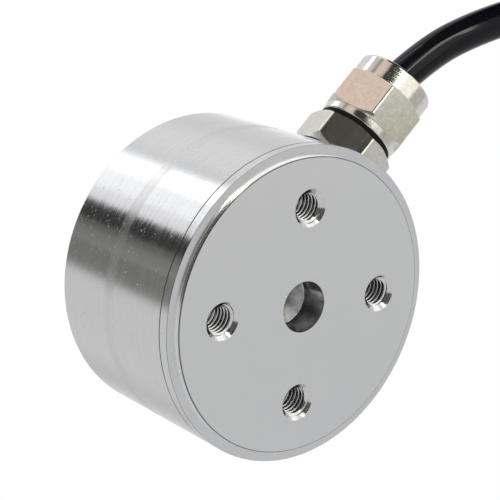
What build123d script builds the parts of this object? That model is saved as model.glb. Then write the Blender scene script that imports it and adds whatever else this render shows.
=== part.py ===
from build123d import *
import math
import os

# Button load cell: a turned steel sensing element in a steel sleeve, with a side cable gland.
# Millimetres. The origin is the centre of the base face, +Z runs up the load axis to the
# button, and the cable leaves along +X.

# Housing and base
body_d = 50.0
body_top = 28.9
sleeve_wall = 4.0
base_face_d = 46.7
base_face_h = 0.7
base_edge = 0.15
flange_h = 1.83
seam = 0.12
top_edge = 0.4
fit = 0.05

# Holes in the base
bolt_circle_d = 31.0
bolt_count = 4
bolt_angle = 45.0
bolt_hole_d = 4.2
bolt_hole_depth = 9.0
bolt_mouth_d = 5.94
centre_hole_d = 8.1
centre_hole_depth = 4.8
drill_point = 118.0

# Sensing column, head and load button
spigot_h = 8.5
column_width = 14.0
column_corner = 2.0
column_h = 9.5
head_d = 24.0
button_d = 18.0
button_rise = 3.1
button_crown_r = 40.0
button_edge = 0.3

# Cover diaphragm
cover_depth = 0.8
cover_t = 0.5
cover_seat = 1.6
bead_width = 4.0
bead_rise = 0.7
bead_place = 0.5

# Strain gauges, terminal board and what is soldered on it
gauge_width = 5.0
gauge_height = 6.0
gauge_t = 0.15
gauge_angles = (0.0, 90.0, 180.0, 270.0)
board_gap = 0.8
board_t = 1.0
ribbon_width = 1.0
ribbon_t = 0.2
ribbon_reach = 0.8
resistor_size = (3.2, 1.6, 0.8)
resistor_angles = (135.0, 180.0, 225.0)

# Cable gland
gland_z = 15.7
thread_d = 12.0
thread_setback = 0.2
across_flats = 13.9
body_hex_h = 5.7
body_hex_turn = 12.0
seat_chamfer = 1.1
hex_chamfer_angle = 30.0
spot_face_depth = 1.0
spot_face_d = 13.1
neck_d = 11.0
neck_length = 7.8
dust_ring_h = 0.77
dust_ring_d = 13.5
nut_length = 11.8
nut_turn = -8.9
nut_collar_d = 13.7
nut_hex_start = 2.0
nut_hex_h = 5.5
nut_edge = 0.55
nut_mouth_d = 7.4
nut_mouth_h = 2.0
nut_room_d = 9.8
bore_gap = 0.3
seal_wall = 1.53
seal_length = 5.5
clamp_wall = 1.7

# Cable, its cores and its coil
cable_d = 6.0
jacket_reach = 3.0
core_d = 1.0
core_offset = 0.8
core_reach = (4.5, 2.2)
core_bend_r = 1.5
coil_mean_r = 30.0
coil_columns = 3
coil_layers = 3
coil_gap = 0.05
end_start_angle = 150.0
end_angle = 240.0
end_step_angle = 40.0
lead_spacing = 1.25
lead_straight = 8.0
lead_angles = (38.0, 62.0)
lead_spread = 3.8

# Where the cable runs from the gland to its coil, points chosen by hand: how far ahead of the
# nut's outer face, how far to the left, and how far down, in millimetres
cable_steps = [
    (-0.9, -0.1, -0.1),
    (7.5, 1.0, 0.6),
    (16.4, 4.0, 2.8),
    (26.1, 8.4, 7.1),
    (36.2, 12.4, 11.1),
    (45.2, 14.0, 12.7),
    (53.7, 14.0, 12.7),
]

body_r = body_d / 2
bore_r = body_r - sleeve_wall
flange_top = base_face_h + flange_h
spigot_top = flange_top + spigot_h
head_bottom = spigot_top + column_h
cover_z = body_top - cover_depth - cover_t
button_top = body_top + button_rise
board_top = spigot_top + board_t
seat_x = body_r
hex_corner_r = across_flats / math.sqrt(3)
nut_start = seat_x + body_hex_h + dust_ring_h
nut_end = nut_start + nut_length
thread_end = bore_r + thread_setback
jacket_end = bore_r - jacket_reach
coil_outer_r = coil_mean_r + coil_columns * cable_d / 2
coil_h = coil_layers * cable_d
cable_r = cable_d / 2
fall_share = (gland_z - cable_r) / cable_steps[-1][2]
cable_route = [(nut_end + ahead, left, gland_z - down * fall_share) for ahead, left, down in cable_steps]
gland_plane = Plane(origin=(0, 0, gland_z), x_dir=(0, 1, 0), z_dir=(1, 0, 0))


def turned(outline):
    """A solid turned about Z from (radius, height) points."""
    edge = Polyline(*[(r, 0, z) for r, z in outline], close=True)
    return revolve(make_face(edge), Axis.Z)


def around_gland(solid):
    """Moves a solid from its own Z axis onto the gland's axis."""
    return gland_plane.location * solid


def drill_tip(radius):
    """Height of the cone that a drill leaves under a hole of this radius."""
    return radius / math.tan(math.radians(drill_point / 2))


def hexagon(height, turn):
    """A hexagon bar standing on Z = 0."""
    outline = RegularPolygon(across_flats / 2, 6, major_radius=False)
    return extrude(Rot(0, 0, turn) * outline, height)


def tube(points, diameter):
    """A round bar along straight runs joined by arcs, with the arcs' radii."""
    corners = [Vector(*point) for point in points]
    radii = []
    for before, here, after in zip(corners, corners[1:], corners[2:]):
        run_in = here - before
        run_out = after - here
        half_turn = math.radians(run_in.get_angle(run_out)) / 2
        shorter = min(run_in.length, run_out.length)
        radii.append(0.45 * shorter / math.tan(half_turn))
    path = FilletPolyline(*corners, radius=radii)
    section = Plane(origin=path @ 0, z_dir=path % 0) * Circle(diameter / 2)
    bar = sweep(section, path)
    ratio = bar.volume / (math.pi * diameter**2 / 4 * path.length)
    print("tube radii", [round(radius, 1) for radius in radii], "volume ratio", round(ratio, 4))
    return bar


def sensing_element():
    """Base, spigot, gauged column, head and load button, turned and milled from one bar."""
    face_r = base_face_d / 2
    base = turned(
        [
            (0, 0),
            (face_r - base_edge, 0),
            (face_r, base_edge),
            (face_r, base_face_h),
            (body_r, base_face_h),
            (body_r, flange_top - seam),
            (body_r - seam, flange_top),
            (bore_r - fit, flange_top),
            (bore_r - fit, spigot_top),
            (0, spigot_top),
        ]
    )
    column = extrude(
        Pos(0, 0, spigot_top) * RectangleRounded(column_width, column_width, column_corner),
        column_h,
    )
    head = turned([(0, head_bottom), (head_d / 2, head_bottom), (head_d / 2, cover_z), (0, cover_z)])
    stem = turned(
        [
            (0, cover_z),
            (button_d / 2, cover_z),
            (button_d / 2, button_top + button_edge),
            (0, button_top + button_edge),
        ]
    )
    crown = Pos(0, 0, button_top - button_crown_r) * Sphere(button_crown_r)
    button = stem & crown
    rims = button.edges().filter_by(GeomType.CIRCLE).group_by(SortBy.LENGTH)[-1]
    button = fillet(rims.sort_by(Axis.Z)[-1], button_edge)
    body = base + column + head + button
    return body - bolt_holes() - centre_hole()


def bolt_holes():
    """Tapping-size blind holes for the mounting screws, each with a chamfered mouth."""
    hole_r = bolt_hole_d / 2
    mouth_r = bolt_mouth_d / 2
    cutter = turned(
        [
            (0, 0),
            (mouth_r, 0),
            (hole_r, mouth_r - hole_r),
            (hole_r, bolt_hole_depth),
            (0, bolt_hole_depth + drill_tip(hole_r)),
        ]
    )
    ring = PolarLocations(bolt_circle_d / 2, bolt_count, start_angle=bolt_angle)
    return Compound(children=[place * cutter for place in ring])


def centre_hole():
    """The plain blind locating hole on the load axis."""
    radius = centre_hole_d / 2
    return turned(
        [
            (0, 0),
            (radius, 0),
            (radius, centre_hole_depth),
            (0, centre_hole_depth + drill_tip(radius)),
        ]
    )


def housing_sleeve():
    """The outer tube, with the cover's seat at its top and the gland's hole in its side."""
    seat_r = bore_r + cover_seat
    wall = turned(
        [
            (bore_r, flange_top),
            (body_r - seam, flange_top),
            (body_r, flange_top + seam),
            (body_r, body_top - top_edge),
            (body_r - top_edge, body_top),
            (seat_r, body_top),
            (seat_r, cover_z),
            (bore_r, cover_z),
        ]
    )
    side_hole = turned([(0, 0), (thread_d / 2, 0), (thread_d / 2, body_d), (0, body_d)])
    floor = seat_x - spot_face_depth
    spot_face = turned([(0, floor), (spot_face_d / 2, floor), (spot_face_d / 2, body_d), (0, body_d)])
    return wall - around_gland(side_hole) - around_gland(spot_face)


def cover_diaphragm():
    """The thin ring that closes the top, with one pressed bead that lets the button move."""
    inner = button_d / 2 + fit
    outer = bore_r + cover_seat - fit
    middle = inner + (outer - inner) * bead_place
    low = cover_z
    high = cover_z + cover_t
    half = bead_width / 2
    top = Line((inner, 0, high), (middle - half, 0, high)) + ThreePointArc(
        (middle - half, 0, high), (middle, 0, high + bead_rise), (middle + half, 0, high)
    )
    top += Line((middle + half, 0, high), (outer, 0, high))
    bottom = Line((outer, 0, low), (middle + half, 0, low)) + ThreePointArc(
        (middle + half, 0, low), (middle, 0, low + bead_rise), (middle - half, 0, low)
    )
    bottom += Line((middle - half, 0, low), (inner, 0, low))
    sides = Line((outer, 0, high), (outer, 0, low)) + Line((inner, 0, low), (inner, 0, high))
    return revolve(make_face(top + bottom + sides), Axis.Z)


def strain_gauge(turn):
    """One foil gauge bonded flat on a face of the column."""
    plate = Box(gauge_t, gauge_width, gauge_height)
    middle = spigot_top + column_h / 2
    return Rot(0, 0, turn) * Pos(column_width / 2 + gauge_t / 2, 0, middle) * plate


def gauge_ribbon(turn):
    """The flat soldered ribbon that leads from a gauge down to the terminal board."""
    start = column_width / 2 + gauge_t
    end = column_reach() + board_gap + ribbon_reach
    height = spigot_top + column_h / 2
    outline = Polyline(
        (start, 0, height),
        (end, 0, height),
        (end, 0, board_top),
        (end - ribbon_t, 0, board_top),
        (end - ribbon_t, 0, height - ribbon_t),
        (start, 0, height - ribbon_t),
        close=True,
    )
    return Rot(0, 0, turn) * extrude(make_face(outline), ribbon_width / 2, both=True)


def column_reach():
    """Distance from the axis to the column's rounded corners."""
    return (column_width / 2 - column_corner) * math.sqrt(2) + column_corner


def terminal_board():
    """The ring-shaped circuit board that rests on the spigot."""
    inner = column_reach() + board_gap
    outer = bore_r - board_gap
    return turned([(inner, spigot_top), (outer, spigot_top), (outer, board_top), (inner, board_top)])


def trim_resistor(turn):
    """One of the chip resistors that trim the bridge."""
    length, width, height = resistor_size
    middle = (column_reach() + bore_r) / 2
    chip = Box(width, length, height, align=(Align.CENTER, Align.CENTER, Align.MIN))
    return Rot(0, 0, turn) * Pos(middle, 0, board_top) * chip


def chamfered_hexagon(height, turn, low_chamfer, high_chamfer):
    """A hexagon with its corners turned off at both ends; a chamfer is (radial, axial)."""
    low_in, low_up = low_chamfer
    high_in, high_down = high_chamfer
    envelope = turned(
        [
            (0, 0),
            (hex_corner_r - low_in, 0),
            (hex_corner_r, low_up),
            (hex_corner_r, height - high_down),
            (hex_corner_r - high_in, height),
            (0, height),
        ]
    )
    return hexagon(height, turn) & envelope


def corner_chamfer():
    """How far in and along a standard corner chamfer reaches, down to the collar."""
    radial = hex_corner_r - nut_collar_d / 2
    return radial, radial * math.tan(math.radians(hex_chamfer_angle))


def gland_body():
    """The gland's screwed-in body: threaded spigot, hexagon and hollow neck."""
    bore = cable_r + bore_gap
    spigot_r = thread_d / 2 - fit
    neck_top = seat_x + body_hex_h + neck_length
    pocket_r = cable_r + seal_wall + fit
    hex_part = Pos(0, 0, seat_x) * chamfered_hexagon(
        body_hex_h, body_hex_turn, (seat_chamfer, seat_chamfer), corner_chamfer()
    )
    spigot = turned(
        [
            (0, thread_end),
            (spigot_r, thread_end),
            (spigot_r, seat_x),
            (0, seat_x),
        ]
    )
    neck = turned([(0, seat_x), (neck_d / 2, seat_x), (neck_d / 2, neck_top), (0, neck_top)])
    hollow = turned(
        [
            (0, thread_end),
            (bore, thread_end),
            (bore, neck_top - seal_length),
            (pocket_r, neck_top - seal_length),
            (pocket_r, neck_top),
            (0, neck_top),
        ]
    )
    return around_gland(hex_part + spigot + neck - hollow)


def gland_gasket():
    """The flat ring between the spot face and the gland body's hexagon."""
    low = seat_x - spot_face_depth
    outer = spot_face_d / 2 - fit
    inner = thread_d / 2
    return around_gland(turned([(inner, low), (outer, low), (outer, seat_x), (inner, seat_x)]))


def gland_dust_ring():
    """The black ring squeezed between the gland body and the cap nut."""
    low = seat_x + body_hex_h
    inner = neck_d / 2 + fit
    return around_gland(
        turned([(inner, low), (dust_ring_d / 2, low), (dust_ring_d / 2, nut_start), (inner, nut_start)])
    )


def gland_seal():
    """The rubber sleeve that grips the cable."""
    high = seat_x + body_hex_h + neck_length
    low = high - seal_length
    inner = cable_r + fit
    outer = cable_r + seal_wall
    return around_gland(turned([(inner, low), (outer, low), (outer, high), (inner, high)]))


def gland_clamp():
    """The slip ring that the nut drives against the rubber."""
    low = seat_x + body_hex_h + neck_length
    high = nut_end - nut_mouth_h
    inner = cable_r + fit * 2
    outer = cable_r + clamp_wall
    return around_gland(turned([(inner, low), (outer, low), (outer, high), (inner, high)]))


def gland_nut():
    """The cap nut: a turned collar at each end of a hexagon."""
    collar_r = nut_collar_d / 2
    chamfer_in, chamfer_along = corner_chamfer()
    barrel = turned([(0, 0), (collar_r, 0), (collar_r, nut_length), (0, nut_length)])
    rim = barrel.edges().filter_by(GeomType.CIRCLE).sort_by(Axis.Z)[-1]
    barrel = fillet(rim, nut_edge)
    hex_low = nut_hex_start - chamfer_along
    hex_part = Pos(0, 0, hex_low) * chamfered_hexagon(
        nut_hex_h + 2 * chamfer_along,
        nut_turn,
        (chamfer_in, chamfer_along),
        (chamfer_in, chamfer_along),
    )
    neck_in_nut = neck_length - dust_ring_h + fit
    hollow = turned(
        [
            (0, 0),
            (neck_d / 2 + fit, 0),
            (neck_d / 2 + fit, neck_in_nut),
            (nut_room_d / 2, neck_in_nut),
            (nut_room_d / 2, nut_length - nut_mouth_h),
            (nut_mouth_d / 2, nut_length - nut_mouth_h),
            (nut_mouth_d / 2, nut_length),
            (0, nut_length),
        ]
    )
    return around_gland(Pos(0, 0, nut_start) * (barrel + hex_part - hollow))


def cable_in_gland():
    """The cable's jacket from inside the housing to the nut's outer face."""
    return around_gland(
        turned([(0, jacket_end), (cable_r, jacket_end), (cable_r, nut_end), (0, nut_end)])
    )


def inner_core(side, level, reach):
    """One core from the end of the jacket down to the terminal board."""
    y = side * core_offset
    z = gland_z + level * core_offset
    bend = jacket_end - reach
    path = FilletPolyline((jacket_end, y, z), (bend, y, z), (bend, y, board_top), radius=core_bend_r)
    section = Plane(origin=path @ 0, z_dir=path % 0) * Circle(core_d / 2)
    return sweep(section, path)


def cable():
    """The cable from the nut's outer face to its coil."""
    bar = tube(cable_route, cable_d)
    return bar - Pos(nut_end - cable_d, 0, gland_z) * Box(cable_d * 2, cable_d * 2, cable_d * 2)


def ahead_and_left(before, last):
    """Directions along a run and to its left, on the level."""
    run = Vector(*last) - Vector(*before)
    along = Vector(run.X, run.Y, 0).normalized()
    return along, Vector(-along.Y, along.X, 0)


def coil_centre():
    """The coil lies on the right of the cable's last run, touching it."""
    along, left = ahead_and_left(cable_route[-2], cable_route[-1])
    centre = Vector(*cable_route[-1]) - left * (coil_outer_r + cable_r + coil_gap)
    return Vector(centre.X, centre.Y, 0)


def cable_coil():
    """The outer shape of the wound-up cable."""
    inner = coil_outer_r - coil_columns * cable_d
    ring = turned([(inner, 0), (coil_outer_r, 0), (coil_outer_r, coil_h), (inner, coil_h)])
    return Pos(*coil_centre()) * ring


def on_coil(radius, angle, height):
    """A point above the coil, by its radius and angle about the coil's axis."""
    centre = coil_centre()
    turn = math.radians(angle)
    return (centre.X + radius * math.cos(turn), centre.Y + radius * math.sin(turn), height)


def end_points():
    """The route of the cable's last part, on top of the coil."""
    height = coil_h + cable_r + coil_gap
    steps = round(end_angle / end_step_angle)
    angles = [end_start_angle - end_step_angle * step for step in range(steps + 1)]
    return [on_coil(coil_mean_r, angle, height) for angle in angles]


def lead(place):
    """A stripped core that fans out from the cable's end and rests on the coil."""
    before, last = end_points()[-2:]
    along, left = ahead_and_left(before, last)
    start = Vector(*last) + left * (place * lead_spacing)
    points = [start, start + along * lead_straight]
    rest = coil_h + core_d / 2 + coil_gap
    for number, angle in enumerate(lead_angles):
        share = (number + 1) / len(lead_angles)
        radius = coil_mean_r + place * (lead_spacing + (lead_spread - lead_spacing) * share)
        points.append(on_coil(radius, end_start_angle - end_angle - angle, rest))
    return tube(points, core_d)


def build():
    """Every piece by its name."""
    pieces = {
        "sensing_element": sensing_element(),
        "housing_sleeve": housing_sleeve(),
        "cover_diaphragm": cover_diaphragm(),
        "terminal_board": terminal_board(),
        "gland_body": gland_body(),
        "gland_gasket": gland_gasket(),
        "gland_dust_ring": gland_dust_ring(),
        "gland_seal": gland_seal(),
        "gland_clamp": gland_clamp(),
        "gland_nut": gland_nut(),
        "cable_in_gland": cable_in_gland(),
        "cable": cable(),
        "cable_coil": cable_coil(),
        "cable_end": tube(end_points(), cable_d),
    }
    for number, turn in enumerate(gauge_angles):
        pieces[f"strain_gauge_{number + 1}"] = strain_gauge(turn)
        pieces[f"gauge_ribbon_{number + 1}"] = gauge_ribbon(turn)
    for number, turn in enumerate(resistor_angles):
        pieces[f"trim_resistor_{number + 1}"] = trim_resistor(turn)
    upper_reach, lower_reach = core_reach
    corners = {
        "red": (-1, 1, upper_reach),
        "black": (1, 1, upper_reach),
        "green": (-1, -1, lower_reach),
        "white": (1, -1, lower_reach),
    }
    for colour, (side, level, reach) in corners.items():
        pieces[f"inner_core_{colour}"] = inner_core(side, level, reach)
    lead_colours = ["red", "black", "green", "white", "shield"]
    for number, colour in enumerate(lead_colours):
        pieces[f"lead_{colour}"] = lead(number - len(lead_colours) // 2)
    return pieces


os.makedirs("parts", exist_ok=True)
for name, piece in build().items():
    export_step(piece, f"parts/{name}.step")
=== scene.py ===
import math

import bmesh
import bpy
from mathutils import Matrix, Vector


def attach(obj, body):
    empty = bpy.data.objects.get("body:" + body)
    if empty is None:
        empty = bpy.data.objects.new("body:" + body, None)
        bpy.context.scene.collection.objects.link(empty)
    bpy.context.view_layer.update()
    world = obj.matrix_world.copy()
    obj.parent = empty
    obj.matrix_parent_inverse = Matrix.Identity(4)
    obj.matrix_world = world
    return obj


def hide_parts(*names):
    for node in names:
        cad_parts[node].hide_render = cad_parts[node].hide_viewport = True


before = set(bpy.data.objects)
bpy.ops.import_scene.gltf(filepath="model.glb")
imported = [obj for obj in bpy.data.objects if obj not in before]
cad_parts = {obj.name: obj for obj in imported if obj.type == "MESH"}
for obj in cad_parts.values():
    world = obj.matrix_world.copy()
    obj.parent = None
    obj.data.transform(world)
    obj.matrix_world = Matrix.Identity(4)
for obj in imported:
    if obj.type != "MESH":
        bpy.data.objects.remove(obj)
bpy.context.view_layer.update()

# Sizes of the load cell in millimetres, as in the part's source, and its small edges
MM = 0.001
body_r = 25.0
bore_r = 21.0
body_top = 28.9
base_face_r = 23.35
base_face_h = 0.7
flange_top = 2.53
spigot_top = 11.03
fit = 0.05
seam = 0.12
base_edge = 0.15
base_face_edge = 0.05
flange_edge = 0.06
top_edge = 0.4
cover_z = 27.6
cover_t = 0.5
cover_seat = 1.6
bead_half = 2.0
bead_rise = 0.7
column_width = 14.0
column_corner = 2.0
column_h = 9.5
head_r = 12.0
button_r = 9.0
button_top = 32.0
button_crown_r = 40.0
button_edge = 0.3
fine_edge = 0.1
sheet_edge = 0.08
bead_steps = 24

# Heights at which the rubbed band round the side begins, is full, is full no more and ends
rubbed_band = (14.6, 15.1, 17.0, 17.4)

# How near to a plane, a rim, an edge or the seam a face counts to it
on_plane = 0.002
near_rim = 0.02
near_edge = 0.1
near_seam = 0.2

# How far one shape reaches into or past another that it is joined to or cut from
overlap = 1.0

# Holes in the base
bolt_circle_r = 15.5
bolt_count = 4
bolt_angle = 45.0
bolt_core_r = 2.1
bolt_thread_r = 2.5
bolt_pitch = 0.8
bolt_thread_length = 7.6
bolt_run_out = 0.4
bolt_depth = 9.0
bolt_mouth_r = 2.97
centre_hole_r = 4.05
centre_hole_depth = 4.8
drill_half_angle = 59.0

# Cable gland, along its own axis
gland_z = 15.7
thread_r = 6.0
thread_end = 21.2
across_flats = 13.9
hex_corner_r = across_flats / math.sqrt(3)
hex_corner_round = 0.55
body_hex_h = 5.7
body_hex_turn = 12.0
seat_chamfer = 1.1
spot_face_depth = 1.0
spot_face_r = 6.55
neck_r = 5.5
neck_length = 7.8
dust_ring_h = 0.77
dust_ring_r = 6.75
nut_start = body_r + body_hex_h + dust_ring_h
nut_length = 11.8
nut_turn = -8.9
nut_collar_r = 6.85
nut_hex_start = 2.0
nut_hex_h = 5.5
nut_edge = 0.55
nut_mouth_r = 3.7
nut_mouth_h = 2.0
nut_room_r = 4.9
seal_pocket_r = 4.58
seal_length = 5.5
cable_bore_r = 3.3
corner_chamfer = hex_corner_r - nut_collar_r
corner_chamfer_h = corner_chamfer * math.tan(math.radians(30))
nut_end = nut_start + nut_length
spigot_edge = 0.4
neck_edge = 0.2
collar_edge = 0.3
mouth_edge = 0.35
dust_ring_edge = 0.22
soft_edge = 0.12
side_hole_start = 5.0
side_cut_end = body_r + 5.0
hexagon_bar_span = (10.0, 60.0)

# Cable and its coil
cable_r = 3.0
coil_outer_r = 39.0
coil_gap = 0.05
turn_radii = (36.0, 30.0, 24.0)
points_a_turn = 24
step_points = 7
climb_bulge = 2.4
end_radius = 30.0
end_start = 150.0
end_angle = 240.0
end_climb = 60.0

# How far outside a turn its control points stand, so that the spline keeps the turn's radius
spline_gain = 8 / (6 + 2 * math.cos(2 * math.pi / points_a_turn))

# The cable's way from the nut down to the coil, the same points as the solid's
cable_route = [
    (42.37, -0.1, 15.8),
    (50.77, 1.0, 15.1),
    (59.67, 4.0, 12.9),
    (69.37, 8.4, 8.6),
    (79.47, 12.4, 4.6),
    (88.47, 14.0, 3.0),
    (96.97, 14.0, 3.0),
]


# Node trees
def feed(tree, node, inputs):
    """The node with these inputs; each is a value or another node's output."""
    for place, value in inputs.items():
        if isinstance(value, bpy.types.NodeSocket):
            tree.links.new(value, node.inputs[place])
        else:
            node.inputs[place].default_value = value
    return node


def add(tree, kind, inputs=None, **settings):
    """A new node with these settings and inputs."""
    node = tree.nodes.new(kind)
    for name, value in settings.items():
        setattr(node, name, value)
    return feed(tree, node, inputs or {})


def calc(tree, operation, first, second=0.0, third=0.0):
    """The result of one Math node."""
    inputs = {0: first, 1: second, 2: third}
    return add(tree, "ShaderNodeMath", inputs, operation=operation).outputs[0]


def vector_calc(tree, operation, inputs, result=0):
    """The result of one Vector Math node."""
    return add(tree, "ShaderNodeVectorMath", inputs, operation=operation).outputs[result]


def spread(tree, value, low, high, to_low, to_high, smooth=False):
    """A value moved from one range to another and held inside it."""
    kind = "SMOOTHSTEP" if smooth else "LINEAR"
    inputs = {0: value, 1: low, 2: high, 3: to_low, 4: to_high}
    return add(tree, "ShaderNodeMapRange", inputs, interpolation_type=kind).outputs[0]


def ranged(tree, value, low, high):
    """A noise's usual range moved to another."""
    return spread(tree, value, 0.3, 0.7, low, high)


def object_place(tree):
    """Place in the frame's axes, in metres."""
    return add(tree, "ShaderNodeTexCoord").outputs["Object"]


def noise(tree, place, detail, roughness=0.5):
    """Noise with one cell to the unit."""
    inputs = {"Vector": place, "Scale": 1.0, "Detail": detail, "Roughness": roughness}
    return add(tree, "ShaderNodeTexNoise", inputs).outputs["Fac"]


def stretched_noise(tree, cells, detail=2.0, roughness=0.5, offset=(0.0, 0.0, 0.0)):
    """Noise with its own number of cells to the millimetre along each axis."""
    scale = tuple(count / MM for count in cells)
    inputs = {"Vector": object_place(tree), "Scale": scale, "Location": offset}
    return noise(tree, add(tree, "ShaderNodeMapping", inputs).outputs[0], detail, roughness)


def mixed(tree, factor, first, second):
    """A colour between two, by a factor."""
    inputs = {0: factor, 6: first, 7: second}
    return add(tree, "ShaderNodeMix", inputs, data_type="RGBA").outputs[2]


def tinted(tree, factor, dark, light):
    """A colour between two plain ones, by a factor."""
    return mixed(tree, factor, (*dark, 1), (*light, 1))


def bumped(tree, height, strength, distance, **more):
    """The surface's normal, tilted by a height."""
    inputs = {"Height": height, "Strength": strength, "Distance": distance, **more}
    return add(tree, "ShaderNodeBump", inputs).outputs[0]


def finish_material(name):
    """An empty material with its surface shader."""
    material = bpy.data.materials.new(name)
    material.use_nodes = True
    tree = material.node_tree
    return material, tree, tree.nodes["Principled BSDF"]


def leaning_normal(tree, lean, along):
    """The surface's own normal, leaned a little along a direction."""
    own = add(tree, "ShaderNodeNewGeometry").outputs["Normal"]
    push = vector_calc(tree, "SCALE", {0: along, "Scale": lean})
    return vector_calc(tree, "NORMALIZE", {0: vector_calc(tree, "ADD", {0: own, 1: push})})


def around_load_axis(tree):
    """The direction that runs around the load axis."""
    turn = vector_calc(tree, "CROSS_PRODUCT", {0: (0, 0, 1), 1: object_place(tree)})
    return vector_calc(tree, "NORMALIZE", {0: turn})


def from_load_axis(tree):
    """The level direction away from the load axis, and the distance from it in millimetres."""
    level = vector_calc(tree, "MULTIPLY", {0: object_place(tree), 1: (1.0, 1.0, 0.0)})
    distance = vector_calc(tree, "LENGTH", {0: level}, "Value")
    return vector_calc(tree, "NORMALIZE", {0: level}), calc(tree, "DIVIDE", distance, MM)


def height_mm(tree):
    """Height above the base face, in millimetres."""
    split = add(tree, "ShaderNodeSeparateXYZ", {0: object_place(tree)})
    return calc(tree, "DIVIDE", split.outputs[2], MM)


# Finishes
def turned_side_steel():
    """Fine-turned bright side: grooves run around the body, so reflections smear up and down."""
    material, tree, shader = finish_material("turned_side_steel")
    grooves = stretched_noise(tree, (0.1, 0.1, 13.0), detail=3, roughness=0.6)
    broad = stretched_noise(tree, (0.05, 0.05, 1.2))
    begin, full, full_end, end = rubbed_band
    height = height_mm(tree)
    above = spread(tree, height, begin, full, 0.0, 1.0)
    below = spread(tree, height, full_end, end, 1.0, 0.0)
    rubbed = calc(tree, "MULTIPLY", calc(tree, "MULTIPLY", above, below), 0.09)
    lean = spread(tree, grooves, 0.2, 0.8, -0.025, 0.025)
    leaned = leaning_normal(tree, lean, around_load_axis(tree))
    nick = spread(tree, stretched_noise(tree, (2.2, 2.2, 3.0), detail=1), 0.72, 0.77, 0.0, 1.0)
    feed(tree, shader, {
        "Metallic": 1.0,
        "Anisotropic": 0.85,
        "Base Color": tinted(tree, grooves, (0.58, 0.58, 0.585), (0.73, 0.73, 0.735)),
        "Roughness": calc(tree, "ADD", ranged(tree, broad, 0.15, 0.21), rubbed),
        "Tangent": add(tree, "ShaderNodeCombineXYZ", {2: 1.0}).outputs[0],
        "Normal": bumped(tree, nick, 0.6, 0.0001, Normal=leaned),
    })
    return material


def satin_face_steel():
    """Base face: even satin with a faint trace of the facing cut."""
    material, tree, shader = finish_material("satin_face_steel")
    mottle = stretched_noise(tree, (0.25, 0.25, 0.25), detail=4)
    grain = stretched_noise(tree, (14.0, 14.0, 14.0))
    feed(tree, shader, {
        "Metallic": 1.0,
        "Base Color": tinted(tree, mottle, (0.705, 0.71, 0.722), (0.735, 0.738, 0.745)),
        "Roughness": ranged(tree, grain, 0.36, 0.42),
        "Normal": bumped(tree, grain, 0.05, 0.00002),
    })
    return material


def turned_end_steel():
    """Faced ends: fine rings around the load axis, so reflections smear outwards."""
    material, tree, shader = finish_material("turned_end_steel")
    outwards, radius = from_load_axis(tree)
    ring_place = add(tree, "ShaderNodeCombineXYZ", {0: calc(tree, "MULTIPLY", radius, 7.0)})
    rings = noise(tree, ring_place.outputs[0], detail=3)
    cloud = stretched_noise(tree, (0.3, 0.3, 0.3), detail=3)
    tone = calc(tree, "MULTIPLY_ADD", rings, 0.6, calc(tree, "MULTIPLY", cloud, 0.4))
    feed(tree, shader, {
        "Metallic": 1.0,
        "Anisotropic": 0.4,
        "Base Color": tinted(tree, tone, (0.68, 0.685, 0.7), (0.84, 0.84, 0.85)),
        "Roughness": ranged(tree, tone, 0.2, 0.27),
        "Tangent": outwards,
    })
    return material


def centre_hole_steel():
    """Drilled hole with painted shade and highlight: the cone is painted dark towards its tip, and
    the smeared wall is painted bright.
    """
    material, tree, shader = finish_material("drilled_hole_steel_with_painted_shade")
    radius = from_load_axis(tree)[1]
    smear = stretched_noise(tree, (0.45, 0.45, 0.45), detail=3)
    rings = stretched_noise(tree, (0.2, 0.2, 6.0))
    # Painted shade: the cone darkens towards its tip; painted highlight: the wall is made brighter,
    # in patches
    cone = spread(tree, radius, 0.6, 3.4, 0.0, 0.5, smooth=True)
    wall = spread(tree, radius, centre_hole_r - 0.06, centre_hole_r - 0.02, 0.0, 0.75)
    patches = spread(tree, smear, 0.35, 0.65, 0.5, 1.0)
    bright = calc(tree, "MULTIPLY", calc(tree, "ADD", cone, wall), patches)
    marks = calc(tree, "MULTIPLY_ADD", rings, 0.2, smear)
    feed(tree, shader, {
        "Metallic": 1.0,
        "Base Color": tinted(tree, bright, (0.05, 0.05, 0.052), (0.72, 0.72, 0.73)),
        "Roughness": ranged(tree, smear, 0.1, 0.2),
        "Normal": bumped(tree, marks, 0.5, 0.0002),
    })
    return material


def worked_metal(name, dark, light, roughness, cells=(3.0, 3.0, 3.0), detail=3):
    """Metal whose tone and roughness vary with the marks on it."""
    material, tree, shader = finish_material(name)
    marks = stretched_noise(tree, cells, detail)
    feed(tree, shader, {
        "Metallic": 1.0,
        "Base Color": tinted(tree, marks, dark, light),
        "Roughness": ranged(tree, marks, *roughness),
    })
    return material


def nickel_plate(name, cells, relief_size):
    """Bright nickel with the tool's marks under it."""
    material, tree, shader = finish_material(name)
    marks = stretched_noise(tree, cells, detail=3, roughness=0.6)
    hammered = stretched_noise(tree, (1.6, 1.6, 1.6), 3, 0.6, offset=(3.0, 1.0, 7.0))
    fleck = spread(tree, stretched_noise(tree, (4.0, 4.0, 4.0), detail=1), 0.68, 0.74, 0.0, 1.0)
    tone = calc(tree, "MAXIMUM", ranged(tree, hammered, 0.0, 0.75), fleck)
    flecked = calc(tree, "MULTIPLY_ADD", fleck, 1.2, marks)
    relief = calc(tree, "MULTIPLY_ADD", hammered, 1.5, flecked)
    feed(tree, shader, {
        "Metallic": 1.0,
        "Base Color": tinted(tree, tone, (0.6, 0.585, 0.53), (0.75, 0.735, 0.69)),
        "Roughness": ranged(tree, marks, 0.09, 0.19),
        "Normal": bumped(tree, relief, relief_size, 0.00003),
    })
    return material


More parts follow.
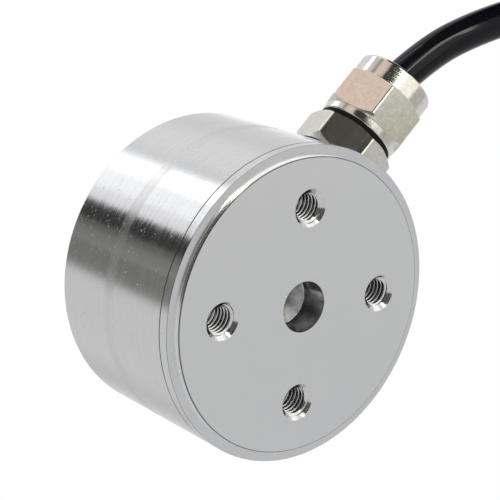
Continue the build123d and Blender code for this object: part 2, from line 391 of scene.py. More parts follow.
def plastic(name, dark, light, roughness, cells=(2.0, 2.0, 2.0), relief_size=0.1, gloss=0.5):
    """Moulded or extruded plastic or rubber with a fine uneven skin."""
    material, tree, shader = finish_material(name)
    skin = stretched_noise(tree, cells, detail=3)
    feed(tree, shader, {
        "Specular IOR Level": gloss,
        "Base Color": tinted(tree, skin, dark, light),
        "Roughness": ranged(tree, skin, roughness - 0.04, roughness + 0.04),
        "Normal": bumped(tree, skin, relief_size, 0.00002),
    })
    return material


side_steel = turned_side_steel()
face_steel = satin_face_steel()
step_steel = worked_metal(
    "polished_step_steel", (0.82, 0.82, 0.83), (0.9, 0.9, 0.9), (0.06, 0.14), (0.2, 0.2, 6.0), 2
)
# Painted shade: near-black steel laid on the seam groove and on the small edge fillets, where shade
# falls
painted_shade_line_steel = worked_metal(
    "dark_edge_line_steel", (0.1, 0.1, 0.105), (0.2, 0.2, 0.2), (0.2, 0.28), (0.4, 0.4, 4.0), 2
)
rim_steel = turned_end_steel()
painted_shade_bore_steel = centre_hole_steel()
thread_steel = worked_metal(
    "tapped_thread_steel", (0.55, 0.55, 0.56), (0.7, 0.7, 0.7), (0.13, 0.21), (2.0, 2.0, 2.0), 2
)
cover_steel = worked_metal(
    "satin_cover_steel", (0.6, 0.6, 0.61), (0.68, 0.68, 0.68), (0.25, 0.35), (1.0, 1.0, 1.0)
)
flat_nickel = nickel_plate("nickel_on_flats", (0.15, 5.0, 5.0), 0.12)
ring_nickel = nickel_plate("nickel_on_turned_rims", (7.0, 0.1, 0.1), 0.15)
jacket_black = plastic(
    "glossy_black_jacket",
    (0.006, 0.006, 0.009),
    (0.01, 0.01, 0.014),
    0.07,
    cells=(0.12, 0.12, 0.12),
    relief_size=0.7,
    gloss=0.19,
)
rubber_black = plastic(
    "black_rubber", (0.006, 0.006, 0.006), (0.011, 0.011, 0.011), 0.6, gloss=0.08
)
grey_nylon = plastic("grey_nylon", (0.46, 0.46, 0.44), (0.54, 0.54, 0.52), 0.45)
green_resist = plastic("green_solder_resist", (0.02, 0.18, 0.08), (0.04, 0.26, 0.12), 0.3)
gauge_film = plastic("amber_gauge_film", (0.52, 0.3, 0.08), (0.66, 0.42, 0.13), 0.25)
chip_black = plastic("dark_chip_resistor", (0.04, 0.04, 0.05), (0.07, 0.07, 0.08), 0.5)
copper = worked_metal("bare_copper", (0.66, 0.32, 0.17), (0.78, 0.4, 0.23), (0.25, 0.35))
tinned = worked_metal("tinned_wire", (0.6, 0.59, 0.56), (0.72, 0.71, 0.68), (0.25, 0.35))
core_skins = {
    "red": plastic("red_core_skin", (0.54, 0.022, 0.014), (0.66, 0.04, 0.026), 0.32),
    "black": plastic("black_core_skin", (0.014, 0.014, 0.014), (0.028, 0.028, 0.028), 0.32),
    "green": plastic("green_core_skin", (0.014, 0.26, 0.065), (0.026, 0.34, 0.095), 0.32),
    "white": plastic("white_core_skin", (0.76, 0.76, 0.74), (0.84, 0.84, 0.82), 0.35),
}


# Shapes
def place_piece(name, mesh, *materials):
    """A new object that holds this mesh."""
    for material in materials:
        mesh.materials.append(material)
    piece = bpy.data.objects.new(name, mesh)
    bpy.context.scene.collection.objects.link(piece)
    return piece


def rounded(outline, steps=5):
    """The (radius, height) points of an outline of (radius, height, fillet) corners."""
    corners = [(Vector(point[:2]), point[2] if len(point) > 2 else 0.0) for point in outline]
    points = []
    for number, (corner, fillet) in enumerate(corners):
        before = corners[number - 1][0] - corner
        after = corners[(number + 1) % len(corners)][0] - corner
        if not fillet or before.length == 0 or after.length == 0:
            points.append(corner)
            continue
        half = before.angle(after) / 2
        cut = fillet / math.tan(half)
        start = corner + before.normalized() * cut
        end = corner + after.normalized() * cut
        inwards = (before.normalized() + after.normalized()).normalized()
        middle = corner + inwards * (fillet / math.sin(half))
        first = start - middle
        swing = first.angle_signed(end - middle)
        for step in range(steps + 1):
            spoke = first.copy()
            spoke.rotate(Matrix.Rotation(-swing * step / steps, 2))
            points.append(middle + spoke)
    return points


def closed_mesh(name, form):
    """The mesh of a closed form, with every face turned outwards."""
    bmesh.ops.recalc_face_normals(form, faces=form.faces)
    mesh = bpy.data.meshes.new(name)
    form.to_mesh(mesh)
    form.free()
    return mesh


def turned(name, outline, *materials, sides=192, material_at=None):
    """A closed mesh turned about Z; material_at gives a face's material from its middle."""
    form = bmesh.new()
    rings = []
    for point in rounded(outline):
        radius, height = point[0] * MM, point[1] * MM
        if radius < 1e-9:
            rings.append([form.verts.new((0, 0, height))])
            continue
        ring = []
        for side in range(sides):
            angle = 2 * math.pi * side / sides
            place = (radius * math.cos(angle), radius * math.sin(angle), height)
            ring.append(form.verts.new(place))
        rings.append(ring)
    for lower, upper in zip(rings, rings[1:] + rings[:1]):
        for side in range(sides):
            corners = []
            for ring, shift in ((lower, 0), (lower, 1), (upper, 1), (upper, 0)):
                corner = ring[(side + shift) % len(ring)]
                if corner not in corners:
                    corners.append(corner)
            if len(corners) > 2:
                face = form.faces.new(corners)
                if material_at:
                    face.material_index = material_at(face.calc_center_median() / MM)
    return place_piece(name, closed_mesh(name, form), *materials)


def bar(name, outline, low, high, *materials):
    """A closed bar along Z from an outline of (x, y) points."""
    form = bmesh.new()
    bottom, top = (
        [form.verts.new((x * MM, y * MM, height * MM)) for x, y in outline]
        for height in (low, high)
    )
    form.faces.new(bottom)
    form.faces.new(top)
    for number in range(len(outline)):
        after = (number + 1) % len(outline)
        form.faces.new((bottom[number], bottom[after], top[after], top[number]))
    return place_piece(name, closed_mesh(name, form), *materials)


def polygon(sides, corner_r, turn, fillet):
    """Points of a regular polygon with rounded corners."""
    corners = []
    for side in range(sides):
        angle = math.radians(turn) + 2 * math.pi * side / sides
        corners.append((corner_r * math.cos(angle), corner_r * math.sin(angle), fillet))
    return rounded(corners)


def settled(piece):
    """The piece with its modifiers built into its mesh."""
    bpy.context.view_layer.update()
    depsgraph = bpy.context.evaluated_depsgraph_get()
    mesh = bpy.data.meshes.new_from_object(piece.evaluated_get(depsgraph))
    piece.modifiers.clear()
    piece.data = mesh
    return piece


def combine(piece, tool, operation):
    """Joins a tool to a piece, or cuts the piece with it, and takes the tool away."""
    change = piece.modifiers.new("combine", "BOOLEAN")
    change.operation = operation
    change.solver = "EXACT"
    change.material_mode = "TRANSFER"
    change.object = tool
    settled(piece)
    bpy.data.objects.remove(tool)
    return piece


def smooth_metal(piece, sharp_angle=30):
    """Smooth shading that keeps flat faces flat and edges crisp."""
    piece.data.shade_smooth()
    piece.data.set_sharp_from_angle(angle=math.radians(sharp_angle))
    weights = piece.modifiers.new("weights", "WEIGHTED_NORMAL")
    weights.keep_sharp = True
    return settled(piece)


def ready(piece, slot, *nodes):
    """The piece rides on the body, in place of its solids."""
    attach(piece, "root")
    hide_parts(*nodes)
    return piece


# From the gland's own axes to the frame: its Z runs along the gland
gland_axes = Matrix(((0, 0, 1, 0), (1, 0, 0, 0), (0, 1, 0, gland_z * MM), (0, 0, 0, 1)))


def onto_gland(piece):
    """Moves a mesh from its own Z axis onto the gland's axis."""
    piece.data.transform(gland_axes)
    return piece


# Base, column, head and button
def drill_tip(radius):
    """Height of the cone that a drill leaves."""
    return radius / math.tan(math.radians(drill_half_angle))


def screw_tap_tree(rows_a_pitch=8, sides=48):
    """Node tree of the shape that a drill and a tap cut, set round a bolt circle."""
    tree = bpy.data.node_groups.new("screw_taps", "GeometryNodeTree")
    sizes = [
        ("Pitch", bolt_pitch),
        ("Core Radius", bolt_core_r),
        ("Thread Radius", bolt_thread_r),
        ("Thread Length", bolt_thread_length),
        ("Run Out", bolt_run_out),
        ("Hole Depth", bolt_depth),
        ("Tip Height", drill_tip(bolt_core_r)),
        ("Mouth Radius", bolt_mouth_r),
        ("Circle Radius", bolt_circle_r),
    ]
    tree.interface.new_socket("Geometry", in_out="OUTPUT", socket_type="NodeSocketGeometry")
    sockets = [(name, "NodeSocketFloat", value * MM) for name, value in sizes]
    sockets.append(("First Angle", "NodeSocketFloat", math.radians(bolt_angle)))
    sockets.append(("Holes", "NodeSocketInt", bolt_count))
    for name, kind, value in sockets:
        socket = tree.interface.new_socket(name, in_out="INPUT", socket_type=kind)
        socket.default_value = value
    tree.interface.new_socket("Material", in_out="INPUT", socket_type="NodeSocketMaterial")
    size = add(tree, "NodeGroupInput").outputs

    turns = calc(tree, "CEIL", calc(tree, "DIVIDE", size["Thread Length"], size["Pitch"]))
    last_row = calc(tree, "MULTIPLY_ADD", calc(tree, "ADD", turns, 2.0), rows_a_pitch, 1.0)
    all_rows = calc(tree, "ADD", last_row, 3.0)
    grid = add(
        tree,
        "GeometryNodeMeshGrid",
        {"Size X": 1.0, "Size Y": 1.0, "Vertices X": sides + 1, "Vertices Y": all_rows},
    )
    point = add(tree, "GeometryNodeInputPosition").outputs[0]
    place = add(tree, "ShaderNodeSeparateXYZ", {0: point}).outputs
    angle = calc(tree, "MULTIPLY", calc(tree, "ADD", place[0], 0.5), 2 * math.pi)
    last_index = calc(tree, "ADD", last_row, 2.0)
    row = calc(tree, "MULTIPLY", calc(tree, "ADD", place[1], 0.5), last_index)
    row = calc(tree, "ROUND", row)

    # The rows climb in a helix that starts outside the face
    climb = calc(tree, "DIVIDE", angle, 2 * math.pi)
    rows_down = calc(tree, "DIVIDE", calc(tree, "SUBTRACT", row, 1.0), rows_a_pitch)
    pitches = calc(tree, "ADD", rows_down, climb)
    helix = calc(tree, "MULTIPLY", calc(tree, "SUBTRACT", pitches, 1.5), size["Pitch"])
    outside = calc(tree, "MULTIPLY", size["Pitch"], -0.5)
    height = calc(tree, "MINIMUM", calc(tree, "MAXIMUM", helix, outside), size["Thread Length"])

    # In each pitch the tap's ridge is one row wide at its top and five at its foot
    half = rows_a_pitch / 2
    around = calc(tree, "FLOORED_MODULO", calc(tree, "ADD", row, half - 1.5), rows_a_pitch)
    from_crest = calc(tree, "ABSOLUTE", calc(tree, "SUBTRACT", around, half))
    ridge = spread(tree, from_crest, 0.5, 2.5, 1.0, 0.0)
    left = calc(tree, "SUBTRACT", size["Thread Length"], height)
    fade = calc(tree, "MINIMUM", calc(tree, "DIVIDE", left, size["Run Out"]), 1.0)
    ridge_h = calc(tree, "SUBTRACT", size["Thread Radius"], size["Core Radius"])
    rise = calc(tree, "MULTIPLY", calc(tree, "MULTIPLY", ridge, fade), ridge_h)
    threaded = calc(tree, "ADD", size["Core Radius"], rise)
    wall = calc(tree, "MAXIMUM", threaded, calc(tree, "SUBTRACT", size["Mouth Radius"], height))

    past_thread = calc(tree, "GREATER_THAN", row, calc(tree, "ADD", last_row, 0.5))
    at_tip = calc(tree, "GREATER_THAN", row, calc(tree, "ADD", last_row, 1.5))
    past_mouth = calc(tree, "GREATER_THAN", row, 0.5)
    open_row = calc(tree, "MULTIPLY", past_mouth, calc(tree, "SUBTRACT", 1.0, at_tip))
    radius = calc(tree, "MULTIPLY", wall, open_row)
    below = calc(tree, "SUBTRACT", size["Hole Depth"], size["Thread Length"])
    plain = calc(tree, "MULTIPLY", past_thread, below)
    tip = calc(tree, "MULTIPLY", at_tip, size["Tip Height"])
    depth = calc(tree, "ADD", calc(tree, "ADD", height, plain), tip)
    wound = add(
        tree,
        "ShaderNodeCombineXYZ",
        {
            0: calc(tree, "MULTIPLY", radius, calc(tree, "COSINE", angle)),
            1: calc(tree, "MULTIPLY", radius, calc(tree, "SINE", angle)),
            2: depth,
        },
    )
    moved = {"Geometry": grid.outputs[0], "Position": wound.outputs[0]}
    shape = add(tree, "GeometryNodeSetPosition", moved).outputs[0]
    merging = {"Geometry": shape, "Distance": 1e-6}
    closed = add(tree, "GeometryNodeMergeByDistance", merging).outputs[0]

    circle_sizes = {"Vertices": size["Holes"], "Radius": size["Circle Radius"]}
    circle = add(tree, "GeometryNodeMeshCircle", circle_sizes).outputs[0]
    turn = add(tree, "ShaderNodeCombineXYZ", {2: size["First Angle"]}).outputs[0]
    ring = add(tree, "GeometryNodeTransform", {"Geometry": circle, "Rotation": turn}).outputs[0]
    start = add(tree, "FunctionNodeRandomValue", {"Seed": 4}, data_type="FLOAT")
    start.inputs[3].default_value = 2 * math.pi
    start_turn = add(tree, "ShaderNodeCombineXYZ", {2: start.outputs[1]}).outputs[0]
    set_out = {"Points": ring, "Instance": closed, "Rotation": start_turn}
    taps = add(tree, "GeometryNodeInstanceOnPoints", set_out).outputs[0]
    real = add(tree, "GeometryNodeRealizeInstances", {0: taps}).outputs[0]
    dressing = {"Geometry": real, "Material": size["Material"]}
    add(tree, "NodeGroupOutput", {0: add(tree, "GeometryNodeSetMaterial", dressing).outputs[0]})
    return tree


def grown(name, tree, **inputs):
    """A plain mesh grown by a Geometry Nodes tree with these inputs."""
    piece = place_piece(name, bpy.data.meshes.new(name))
    growth = piece.modifiers.new("growth", "NODES")
    growth.node_group = tree
    for socket in tree.interface.items_tree:
        if socket.item_type == "SOCKET" and socket.in_out == "INPUT" and socket.name in inputs:
            growth[socket.identifier] = inputs[socket.name]
    return settled(piece)


def turn_outwards(piece):
    """Makes every face of a closed mesh point outwards."""
    form = bmesh.new()
    form.from_mesh(piece.data)
    bmesh.ops.recalc_face_normals(form, faces=form.faces)
    form.to_mesh(piece.data)
    form.free()
    return piece


def screw_taps():
    """The four tapped holes' shapes."""
    taps = grown("screw_taps", screw_tap_tree(), Material=thread_steel)
    return turn_outwards(taps)


def crown_height(radius):
    """Height of the button's domed top at this radius."""
    return button_top - button_crown_r + math.sqrt(button_crown_r**2 - radius**2)


def crown_points(steps=14):
    """The button's domed top, from its edge to the middle."""
    radii = [(button_r - button_edge) * (1 - step / steps) for step in range(1, steps)]
    return [(radius, crown_height(radius)) for radius in radii]


def make_sensing_element():
    """Base, spigot, gauged column, head and load button, as one piece of steel."""
    side, face, line, step, rim = range(5)

    def base_finish(middle):
        radius = middle.xy.length
        if middle.z < on_plane:
            return face
        if abs(middle.z - base_face_h) < on_plane:
            return rim
        # Painted shade: the small edge fillets at the base face and flange, and the seam's fillet,
        # take the dark line steel
        at_outer_edge = middle.z < base_face_h + near_edge and radius > body_r - near_edge
        if middle.z < base_edge or at_outer_edge:
            return line
        if middle.z < base_face_h:
            return step
        at_seam = middle.z > flange_top - seam and radius > body_r - near_seam
        return line if at_seam else side

    base = turned(
        "sensing_element_turned",
        [
            (0, 0),
            (base_face_r, 0, base_edge),
            (base_face_r, base_face_h, base_face_edge),
            (body_r, base_face_h, flange_edge),
            (body_r, flange_top, seam),
            (bore_r - fit, flange_top),
            (bore_r - fit, spigot_top),
            (0, spigot_top),
        ],
        side_steel,
        face_steel,
        painted_shade_line_steel,
        step_steel,
        rim_steel,
        sides=256,
        material_at=base_finish,
    )
    half = column_width / 2
    corners = ((half, half), (-half, half), (-half, -half), (half, -half))
    column_outline = rounded([(x, y, column_corner) for x, y in corners])
    column_top = spigot_top + column_h
    column = bar("column", column_outline, spigot_top - overlap, column_top + overlap, face_steel)
    head = turned(
        "head",
        [
            (0, column_top),
            (head_r, column_top),
            (head_r, cover_z),
            (button_r, cover_z),
            (button_r, crown_height(button_r), button_edge),
            *crown_points(),
            (0, button_top),
        ],
        rim_steel,
    )
    combine(base, column, "UNION")
    combine(base, head, "UNION")
    combine(base, screw_taps(), "DIFFERENCE")
    locating = turned(
        "locating_hole",
        [
            (0, -overlap),
            (centre_hole_r, -overlap),
            (centre_hole_r, centre_hole_depth),
            (0, centre_hole_depth + drill_tip(centre_hole_r)),
        ],
        painted_shade_bore_steel,
        sides=128,
    )
    combine(base, locating, "DIFFERENCE")
    return ready(smooth_metal(base), "turned_steel", "sensing_element")


def make_sleeve():
    """The outer tube with the cover's seat and the gland's seat in its side."""
    side, line, rim = range(3)

    def sleeve_finish(middle):
        if middle.z > body_top - near_rim:
            return rim
        # Painted shade: the seam's fillet takes the dark line steel
        at_seam = middle.z < flange_top + seam and middle.xy.length > body_r - near_seam
        return line if at_seam else side

    seat_r = bore_r + cover_seat
    sleeve = turned(
        "housing_sleeve_turned",
        [
            (bore_r, flange_top),
            (body_r, flange_top, seam),
            (body_r, body_top, top_edge),
            (seat_r, body_top, fine_edge),
            (seat_r, cover_z),
            (bore_r, cover_z),
        ],
        side_steel,
        painted_shade_line_steel,
        rim_steel,
        sides=256,
        material_at=sleeve_finish,
    )
    cuts = {
        "side_hole": (side_hole_start, thread_r),
        "spot_face": (body_r - spot_face_depth, spot_face_r),
    }
    for name, (low, radius) in cuts.items():
        outline = [(0, low), (radius, low), (radius, side_cut_end), (0, side_cut_end)]
        combine(sleeve, onto_gland(turned(name, outline, painted_shade_bore_steel, sides=128)), "DIFFERENCE")
    return ready(smooth_metal(sleeve), "sleeve_steel", "housing_sleeve")


def make_cover():
    """The thin ring with one pressed bead that closes the top."""
    inner = button_r + fit
    outer = bore_r + cover_seat - fit
    middle = (inner + outer) / 2
    bead = []
    for step in range(bead_steps + 1):
        across = -bead_half + 2 * bead_half * step / bead_steps
        bead.append((middle + across, bead_rise * (1 + math.cos(math.pi * across / bead_half)) / 2))
    high = cover_z + cover_t
    lower = [(inner, cover_z)] + [(r, cover_z + rise) for r, rise in bead] + [(outer, cover_z)]
    upper = [(r, high + rise) for r, rise in reversed(bead)]
    upper = [(outer, high, sheet_edge)] + upper + [(inner, high, sheet_edge)]
    cover = turned("cover_diaphragm_pressed", lower + upper, cover_steel)
    return ready(smooth_metal(cover), "cover_steel", "cover_diaphragm")


# Cable gland
def hexagon_bar(turn):
    """A long hexagon bar with slightly rounded corners, for cutting flats."""
    outline = polygon(6, hex_corner_r, turn, hex_corner_round)
    return bar("hexagon_bar", outline, *hexagon_bar_span, flat_nickel)


def make_gland_body():
    """The gland's screwed-in body: spigot, hexagon and hollow neck."""
    hex_top = body_r + body_hex_h
    neck_top = hex_top + neck_length
    pocket = neck_top - seal_length
    body = turned(
        "gland_body_turned",
        [
            (cable_bore_r, thread_end),
            (thread_r - fit, thread_end, spigot_edge),
            (thread_r - fit, body_r),
            (hex_corner_r - seat_chamfer, body_r, soft_edge),
            (hex_corner_r, body_r + seat_chamfer, fine_edge),
            (hex_corner_r, hex_top - corner_chamfer_h, fine_edge),
            (nut_collar_r, hex_top, fine_edge),
            (neck_r, hex_top),
            (neck_r, neck_top, neck_edge),
            (seal_pocket_r, neck_top),
            (seal_pocket_r, pocket),
            (cable_bore_r, pocket),
        ],
        ring_nickel,
    )
    combine(body, hexagon_bar(body_hex_turn), "INTERSECT")
    return ready(smooth_metal(onto_gland(body)), "plated_brass", "gland_body")


def make_gland_nut():
    """The cap nut: a turned collar at each end of a hexagon."""
    hex_low = nut_start + nut_hex_start
    hex_high = hex_low + nut_hex_h
    room_low = nut_start + neck_length - dust_ring_h + fit
    room_high = nut_end - nut_mouth_h
    nut = turned(
        "gland_nut_turned",
        [
            (neck_r + fit, nut_start),
            (nut_collar_r, nut_start, collar_edge),
            (nut_collar_r, hex_low - corner_chamfer_h, soft_edge),
            (hex_corner_r, hex_low, fine_edge),
            (hex_corner_r, hex_high, fine_edge),
            (nut_collar_r, hex_high + corner_chamfer_h, soft_edge),
            (nut_collar_r, nut_end, nut_edge),
            (nut_mouth_r, nut_end, mouth_edge),
            (nut_mouth_r, room_high),
            (nut_room_r, room_high),
            (nut_room_r, room_low),
            (neck_r + fit, room_low),
        ],
        ring_nickel,
    )
    combine(nut, hexagon_bar(nut_turn), "INTERSECT")
    return ready(smooth_metal(onto_gland(nut)), "plated_brass", "gland_nut")


def make_dust_ring():
    """The black ring squeezed between the gland body and the cap nut."""
    low = body_r + body_hex_h
    ring = turned(
        "gland_dust_ring_moulded",
        [
            (neck_r + fit, low),
            (dust_ring_r, low, dust_ring_edge),
            (dust_ring_r, nut_start, dust_ring_edge),
            (neck_r + fit, nut_start),
        ],
        rubber_black,
    )
    return ready(smooth_metal(onto_gland(ring)), "black_rubber", "gland_dust_ring")


# Cable
def coil_centre():
    """The coil's middle: on the right of the cable's last run, touching it."""
    run = Vector(cable_route[-1]) - Vector(cable_route[-2])
    right = Vector((run.y, -run.x, 0)).normalized()
    return Vector(cable_route[-1]) * Vector((1, 1, 0)) + right * (coil_outer_r + cable_r + coil_gap)


def on_coil(radius, angle, height):
    """A point of the coil by its radius, its angle in degrees and its height."""
    centre = coil_centre()
    turn = math.radians(angle)
    return (centre.x + radius * math.cos(turn), centre.y + radius * math.sin(turn), height)


def eased(share):
    """A share from 0 to 1 that starts and ends gently."""
    return share * share * (3 - 2 * share)


def coil_points():
    """Three layers of three turns, wound clockwise; each turn steps to the next in a short arc."""
    touch = Vector(cable_route[-1]) - coil_centre()
    angle = math.degrees(math.atan2(touch.y, touch.x))
    radius = math.hypot(touch.x, touch.y)
    step_angle = 360 / points_a_turn
    height = cable_r
    points = []
    layers = (turn_radii, turn_radii[::-1], turn_radii)
    for layer, radii in enumerate(layers):
        next_height = cable_r + 2 * cable_r * layer
        for number, next_radius in enumerate(radii):
            # Each climb swings clear of the turn below it, by turns in and out of the coil
            climbs = number == 0 and layer > 0
            outwards = -1 if layer % 2 else 1
            last_turn = layer == len(layers) - 1 and number == len(radii) - 1
            count = step_points + 2 if last_turn else points_a_turn
            for step in range(1, count + 1):
                share = eased(min(step / step_points, 1))
                bulge = outwards * climb_bulge * math.sin(math.pi * share) if climbs else 0
                here = radius + (next_radius - radius) * share + bulge
                level = height + (next_height - height) * share
                points.append(on_coil(here * spline_gain, angle - step * step_angle, level))
            angle -= count * step_angle
            radius = next_radius
            height = next_height
    return points, angle, height


def end_points(from_angle, from_height):
    """The cable's last part: on under the leads' place, then up on top of the coil and along it."""
    step_angle = 360 / points_a_turn
    top = len(turn_radii) * 2 * cable_r + cable_r + coil_gap
    while from_angle < end_start:
        from_angle += 360
    run_steps = round((from_angle - end_start) / step_angle)
    climb_steps = round(end_climb / step_angle)
    points = []
    for step in range(1, run_steps + 1):
        share = eased(max(0, step - run_steps + climb_steps) / climb_steps)
        radius = turn_radii[-1] + (end_radius - turn_radii[-1]) * share
        level = from_height + (top - from_height) * share
        points.append(on_coil(radius * spline_gain, from_angle - step * step_angle, level))
    steps = round(end_angle / step_angle)
    for step in range(1, steps + 1):
        grow = spline_gain if step < steps else 1
        points.append(on_coil(end_radius * grow, end_start - end_angle * step / steps, top))
    return points


def smooth_spline(name, points, radius, sides):
    """A round cord along one smooth NURBS spline, from points in millimetres."""
    data = bpy.data.curves.new(name, "CURVE")
    data.dimensions = "3D"
    spline = data.splines.new("NURBS")
    spline.points.add(len(points) - 1)
    for control, point in zip(spline.points, points):
        control.co = (*(Vector(point) * MM), 1)
    spline.order_u = 3
    spline.use_endpoint_u = True
    spline.use_smooth = True
    spline.resolution_u = 8
    data.bevel_depth = radius * MM
    data.bevel_resolution = sides
    data.use_fill_caps = True
    cord = bpy.data.objects.new(name, data)
    bpy.context.scene.collection.objects.link(cord)
    return cord


def make_cable():
    """The cable from the nut to the end of its jacket, in one length."""
    turns, angle, height = coil_points()
    points = cable_route + turns + end_points(angle, height)
    cable = smooth_spline("signal_cable", points, cable_r, 7)
    cable.data.materials.append(jacket_black)
    ready(cable, "cable_jacket", "cable", "cable_coil", "cable_end")
    return cable


# Inside parts, which keep their solids
def dress_inside_parts():
    """Finishes of the parts that the solids show as they are."""
    finishes = {
        "terminal_board": green_resist,
        "gland_gasket": rubber_black,
        "gland_seal": rubber_black,
        "gland_clamp": grey_nylon,
        "cable_in_gland": jacket_black,
        "lead_shield": tinned,
    }
    for number in range(1, 5):
        finishes[f"strain_gauge_{number}"] = gauge_film
        finishes[f"gauge_ribbon_{number}"] = copper
    for number in range(1, 4):
        finishes[f"trim_resistor_{number}"] = chip_black
    for colour, skin in core_skins.items():
        finishes[f"inner_core_{colour}"] = skin
        finishes[f"lead_{colour}"] = skin
    for name, finish in finishes.items():
        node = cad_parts[name]
        node.data.materials.clear()
        node.data.materials.append(finish)


# Camera, floor and light
def set_camera():
    """The photograph's view, from below the base."""
    data = bpy.data.cameras.new("camera")
    data.lens = 108.82
    data.sensor_width = 36.0
    data.clip_start = 0.01
    camera = bpy.data.objects.new("camera", data)
    bpy.context.scene.collection.objects.link(camera)
    right = (0.59654, 0.51669, -0.61418)
    up = (0.76420, -0.59959, 0.23781)
    back = (-0.24537, -0.61120, -0.75249)
    place = (-0.05476, -0.15018, -0.16616)
    rows = [(right[i], up[i], back[i], place[i]) for i in range(3)]
    camera.matrix_world = Matrix((*rows, (0, 0, 0, 1)))
    bpy.context.scene.camera = camera


def lay_floor():
    """A pale floor that isn't there when it is seen from below."""
    material = bpy.data.materials.new("pale_floor")
    material.use_nodes = True
    tree = material.node_tree
    tree.nodes.clear()
    behind = add(tree, "ShaderNodeNewGeometry").outputs["Backfacing"]
    paint = add(tree, "ShaderNodeBsdfDiffuse", {"Color": (0.88, 0.88, 0.88, 1)})
    clear = add(tree, "ShaderNodeBsdfTransparent")
    mix = add(tree, "ShaderNodeMixShader", {0: behind, 1: paint.outputs[0], 2: clear.outputs[0]})
    add(tree, "ShaderNodeOutputMaterial", {0: mix.outputs[0]})
    mesh = bpy.data.meshes.new("floor")
    reach = 3.0
    low = -0.02 * MM
    signs = ((-1, -1), (1, -1), (1, 1), (-1, 1))
    mesh.from_pydata([(x * reach, y * reach, low) for x, y in signs], [], [(0, 1, 2, 3)])
    floor = place_piece("floor", mesh, material)
    floor.visible_diffuse = False
    floor.visible_glossy = False
    floor.visible_transmission = False
    floor.visible_shadow = False


def studio_card_group():
    """Node group: lays one soft-edged card over the light that a ray sees."""
    tree = bpy.data.node_groups.new("studio_card", "ShaderNodeTree")
    tree.interface.new_socket("Light", in_out="OUTPUT", socket_type="NodeSocketColor")
    angles = ["Azimuth", "Elevation", "Card Azimuth", "Card Elevation"]
    angles += ["Half Width", "Half Height", "Softness"]
    for name in ("Light", *angles, "Card Light"):
        kind = "NodeSocketFloat" if name in angles else "NodeSocketColor"
        tree.interface.new_socket(name, in_out="INPUT", socket_type=kind)
    ray = add(tree, "NodeGroupInput").outputs
    turn = calc(tree, "SUBTRACT", ray["Azimuth"], ray["Card Azimuth"])
    turn = calc(tree, "WRAP", turn, 180.0, -180.0)
    squeeze = calc(tree, "COSINE", calc(tree, "RADIANS", ray["Card Elevation"]))
    across = calc(tree, "ABSOLUTE", calc(tree, "MULTIPLY", turn, squeeze))
    rise = calc(tree, "SUBTRACT", ray["Elevation"], ray["Card Elevation"])
    along = calc(tree, "ABSOLUTE", rise)
    covers = []
    for distance, half in ((across, ray["Half Width"]), (along, ray["Half Height"])):
        inner = calc(tree, "SUBTRACT", half, ray["Softness"])
        outer = calc(tree, "ADD", half, ray["Softness"])
        covers.append(spread(tree, distance, inner, outer, 1.0, 0.0, smooth=True))
    cover = calc(tree, "MULTIPLY", *covers)
    add(tree, "NodeGroupOutput", {0: mixed(tree, cover, ray["Light"], ray["Card Light"])})
    return tree


# Light of the studio where no card stands, light on what isn't glossy, and what the camera sees
room_light = (0.78, 0.78, 0.78, 1)
even_light = (0.9, 0.9, 0.9, 1)
white = (1, 1, 1, 1)

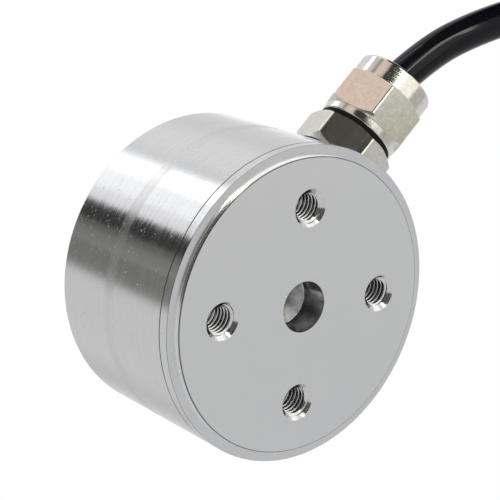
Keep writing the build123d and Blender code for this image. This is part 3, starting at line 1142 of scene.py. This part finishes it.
# Cards of the studio: azimuth, elevation, half width, half height, softness in degrees, and light
studio_cards = [
    ("upper side wall", 60, 20, 50, 70, 12, (0.85, 0.85, 0.85)),
    ("right wall", 68, -52, 16, 30, 6, (0.6, 0.605, 0.615)),
    ("left wall", 120, 45, 10, 30, 8, (0.64, 0.64, 0.64)),
    ("front wall", 336, 45, 14, 30, 6, (0.97, 0.97, 0.97)),
    ("side window", 50, 49, 9, 22, 4, (1.25, 1.25, 1.25)),
    ("dim wall", 223, 49, 7.8, 32, 2.2, (0.22, 0.22, 0.205)),
    ("light strip", 239, 49, 3.2, 32, 1.6, (0.25, 0.25, 0.235)),
    ("shade strip", 247, 49, 2.8, 32, 1.6, (0.15, 0.15, 0.14)),
    ("dark door", 257.5, 49, 5.2, 32, 0.8, (0.035, 0.035, 0.033)),
    ("mottled pane", 272, 56, 4, 18, 1, (1.1, 1.1, 1.12)),
    ("blue pane", 284, 58, 4, 16, 1, (1.4, 1.42, 1.48)),
    ("pane bar", 292.5, 60, 1.4, 14, 0.8, (1.05, 1.1, 1.15)),
    ("bright window", 302, 58, 4.6, 17, 1.2, (2.2, 2.2, 2.2)),
    ("window edge", 311, 52, 1.2, 22, 0.8, (0.75, 0.78, 0.86)),
    ("warm card", 291, 6, 10, 9, 2, (1.0, 0.8, 0.72)),
    ("warm shade", 291, 20, 10, 5, 2, (0.46, 0.4, 0.34)),
    ("dark gap", 256, -41, 27.5, 26, 3, (0.12, 0.12, 0.105)),
    ("dark gap side", 289, -27, 12, 17, 3, (0.055, 0.053, 0.045)),
    ("lower window", 353, -55, 27, 20, 4, (1.38, 1.37, 1.28)),
    ("low strip light", 347, -18, 26, 10, 3, (1.5, 1.5, 1.5)),
    ("slit light", 309.5, -44, 1.5, 16, 0.5, (10.5, 10.5, 9.3)),
    ("high slit light", 311, 22, 0.9, 12, 0.5, (4.0, 4.2, 4.6)),
    ("olive card", 56, -60, 6, 6, 3, (0.5, 0.48, 0.38)),
    ("ceiling", 0, 90, 10, 13, 5, (0.8, 0.8, 0.8)),
]


def light_studio():
    """White behind the object, even light on it, and a studio that metal reflects."""
    world = bpy.data.worlds.new("studio")
    bpy.context.scene.world = world
    world.use_nodes = True
    world.cycles.sampling_method = "NONE"
    tree = world.node_tree
    tree.nodes.clear()
    ray = add(tree, "ShaderNodeLightPath").outputs
    direction = add(tree, "ShaderNodeTexCoord").outputs["Generated"]
    split = add(tree, "ShaderNodeSeparateXYZ", {0: direction}).outputs
    azimuth = calc(tree, "DEGREES", calc(tree, "ARCTAN2", split[1], split[0]))
    elevation = calc(tree, "DEGREES", calc(tree, "ARCSINE", split[2]))
    group = studio_card_group()
    seen = room_light
    for name, *place, colour in studio_cards:
        values = dict(enumerate([seen, azimuth, elevation, *place, (*colour, 1)]))
        seen = add(tree, "ShaderNodeGroup", values, node_tree=group, label=name).outputs[0]
    lit = mixed(tree, ray["Is Glossy Ray"], even_light, seen)
    plain = calc(tree, "MAXIMUM", ray["Is Camera Ray"], ray["Is Transmission Ray"])
    both = mixed(tree, plain, lit, white)
    glow = add(tree, "ShaderNodeBackground", {"Color": both, "Strength": 1.0})
    add(tree, "ShaderNodeOutputWorld", {0: glow.outputs[0]})

    data = bpy.data.lights.new("soft_lamp", "AREA")
    data.shape = "DISK"
    data.size = 0.5
    data.energy = 3.0
    lamp = bpy.data.objects.new("soft_lamp", data)
    bpy.context.scene.collection.objects.link(lamp)
    lamp.location = (-0.25, -0.35, 0.7)
    lamp.rotation_euler = (Vector((0, 0, 0.01)) - lamp.location).to_track_quat("-Z", "Y").to_euler()
    lamp.visible_glossy = False


set_camera()
lay_floor()
light_studio()
dress_inside_parts()
make_cable()
make_sensing_element()
make_sleeve()
make_cover()
make_gland_body()
make_gland_nut()
make_dust_ring()

scene = bpy.context.scene
scene.view_settings.view_transform = "Standard"
